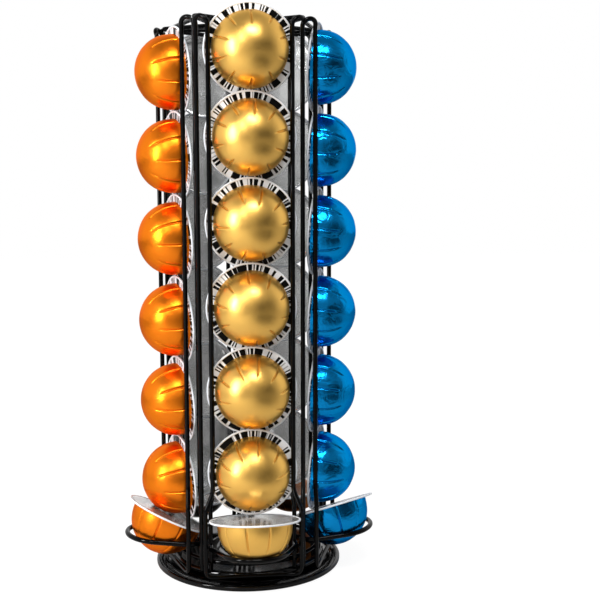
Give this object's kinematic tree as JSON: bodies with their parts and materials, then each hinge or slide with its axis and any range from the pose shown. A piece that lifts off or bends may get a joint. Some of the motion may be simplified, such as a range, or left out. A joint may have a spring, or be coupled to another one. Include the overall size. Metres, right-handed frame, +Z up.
{
  "type": "coffee capsule dispenser",
  "caption": "Free-standing turning wire rack that holds dome coffee capsules in upright columns, the lowest capsule of each lying lid up in a cradle to be picked.",
  "frame": {"origin": "centre of the foot pad's underside, on the table, on the spin axis", "axes": "+Z up along the spin axis; -Y towards the front column"},
  "size_m": [0.177, 0.1815, 0.3919],
  "materials": {
    "gold_foil": "satin",
    "blue_foil": "satin",
    "copper_foil": "satin",
    "silver_foil": "satin",
    "orange_foil": "satin",
    "black_wire": "gloss",
    "black_disc": "gloss",
    "black_dish": "gloss floor, satin rim",
    "steel_rivet": "satin",
    "bearing_plastic": "matte",
    "foot_rubber": "matte"
  },
  "bodies": {
    "base": {"base_dish": "black_dish", "foot_pad": "foot_rubber", "pivot_rivet": "steel_rivet", "thrust_ring": "bearing_plastic"},
    "carousel": {"turntable_disc": "black_disc", "top_star": "black_wire", "lower_tie_ring": "black_wire", "guard_wire_1": "black_wire", "guard_wire_2": "black_wire", "guard_wire_3": "black_wire", "guard_wire_4": "black_wire", "guard_wire_5": "black_wire", "back_rail_1": "black_wire", "back_rail_2": "black_wire", "back_rail_3": "black_wire", "back_rail_4": "black_wire", "back_rail_5": "black_wire", "cradle_1": "black_wire", "cradle_2": "black_wire", "cradle_3": "black_wire", "cradle_4": "black_wire", "cradle_5": "black_wire"},
    "gold_pick": {"gold_capsule_7": "gold_foil"},
    "gold_stack": {"gold_capsule_2": "gold_foil", "gold_capsule_3": "gold_foil", "gold_capsule_4": "gold_foil", "gold_capsule_5": "gold_foil", "gold_capsule_6": "gold_foil"},
    "gold_top": {"gold_capsule_1": "gold_foil"},
    "blue_pick": {"blue_capsule_7": "blue_foil"},
    "blue_stack": {"blue_capsule_2": "blue_foil", "blue_capsule_3": "blue_foil", "blue_capsule_4": "blue_foil", "blue_capsule_5": "blue_foil", "blue_capsule_6": "blue_foil"},
    "blue_top": {"blue_capsule_1": "blue_foil"},
    "copper_pick": {"copper_capsule_7": "copper_foil"},
    "copper_stack": {"copper_capsule_2": "copper_foil", "copper_capsule_3": "copper_foil", "copper_capsule_4": "copper_foil", "copper_capsule_5": "copper_foil", "copper_capsule_6": "copper_foil"},
    "copper_top": {"copper_capsule_1": "copper_foil"},
    "silver_pick": {"silver_capsule_7": "silver_foil"},
    "silver_stack": {"silver_capsule_2": "silver_foil", "silver_capsule_3": "silver_foil", "silver_capsule_4": "silver_foil", "silver_capsule_5": "silver_foil", "silver_capsule_6": "silver_foil"},
    "silver_top": {"silver_capsule_1": "silver_foil"},
    "orange_pick": {"orange_capsule_7": "orange_foil"},
    "orange_stack": {"orange_capsule_2": "orange_foil", "orange_capsule_3": "orange_foil", "orange_capsule_4": "orange_foil", "orange_capsule_5": "orange_foil", "orange_capsule_6": "orange_foil"},
    "orange_top": {"orange_capsule_1": "orange_foil"}
  },
  "joints": [
    {"name": "carousel_spin", "type": "hinge", "parent": "base", "child": "carousel", "pos_m": [0, 0, 0], "axis": [0, 0, 1], "continuous": true},
    {"name": "gold_pick_slide", "type": "slide", "parent": "carousel", "child": "gold_pick", "axis": [0, -0.5, 0.866], "range_m": [0, 0.016]},
    {"name": "gold_stack_slide", "type": "slide", "parent": "carousel", "child": "gold_stack", "axis": [0, 0, 1], "range_m": [0, 0.0135]},
    {"name": "gold_top_lift", "type": "slide", "parent": "gold_stack", "child": "gold_top", "axis": [0, 0, 1], "range_m": [0, 0.03]},
    {"name": "blue_pick_slide", "type": "slide", "parent": "carousel", "child": "blue_pick", "axis": [0.4755, -0.1545, 0.866], "range_m": [0, 0.016]},
    {"name": "blue_stack_slide", "type": "slide", "parent": "carousel", "child": "blue_stack", "axis": [0, 0, 1], "range_m": [0, 0.0135]},
    {"name": "blue_top_lift", "type": "slide", "parent": "blue_stack", "child": "blue_top", "axis": [0, 0, 1], "range_m": [0, 0.03]},
    {"name": "copper_pick_slide", "type": "slide", "parent": "carousel", "child": "copper_pick", "axis": [0.2939, 0.4045, 0.866], "range_m": [0, 0.016]},
    {"name": "copper_stack_slide", "type": "slide", "parent": "carousel", "child": "copper_stack", "axis": [0, 0, 1], "range_m": [0, 0.0135]},
    {"name": "copper_top_lift", "type": "slide", "parent": "copper_stack", "child": "copper_top", "axis": [0, 0, 1], "range_m": [0, 0.03]},
    {"name": "silver_pick_slide", "type": "slide", "parent": "carousel", "child": "silver_pick", "axis": [-0.2939, 0.4045, 0.866], "range_m": [0, 0.016]},
    {"name": "silver_stack_slide", "type": "slide", "parent": "carousel", "child": "silver_stack", "axis": [0, 0, 1], "range_m": [0, 0.0135]},
    {"name": "silver_top_lift", "type": "slide", "parent": "silver_stack", "child": "silver_top", "axis": [0, 0, 1], "range_m": [0, 0.03]},
    {"name": "orange_pick_slide", "type": "slide", "parent": "carousel", "child": "orange_pick", "axis": [-0.4755, -0.1545, 0.866], "range_m": [0, 0.016]},
    {"name": "orange_stack_slide", "type": "slide", "parent": "carousel", "child": "orange_stack", "axis": [0, 0, 1], "range_m": [0, 0.0135]},
    {"name": "orange_top_lift", "type": "slide", "parent": "orange_stack", "child": "orange_top", "axis": [0, 0, 1], "range_m": [0, 0.03]}
  ],
  "couplings": [
    {"joint": "gold_stack_slide", "follows": "gold_pick_slide", "ratio": 0.7688},
    {"joint": "blue_stack_slide", "follows": "blue_pick_slide", "ratio": 0.689},
    {"joint": "copper_stack_slide", "follows": "copper_pick_slide", "ratio": 0.7126},
    {"joint": "silver_stack_slide", "follows": "silver_pick_slide", "ratio": 0.6736},
    {"joint": "orange_stack_slide", "follows": "orange_pick_slide", "ratio": 0.6057}
  ]
}
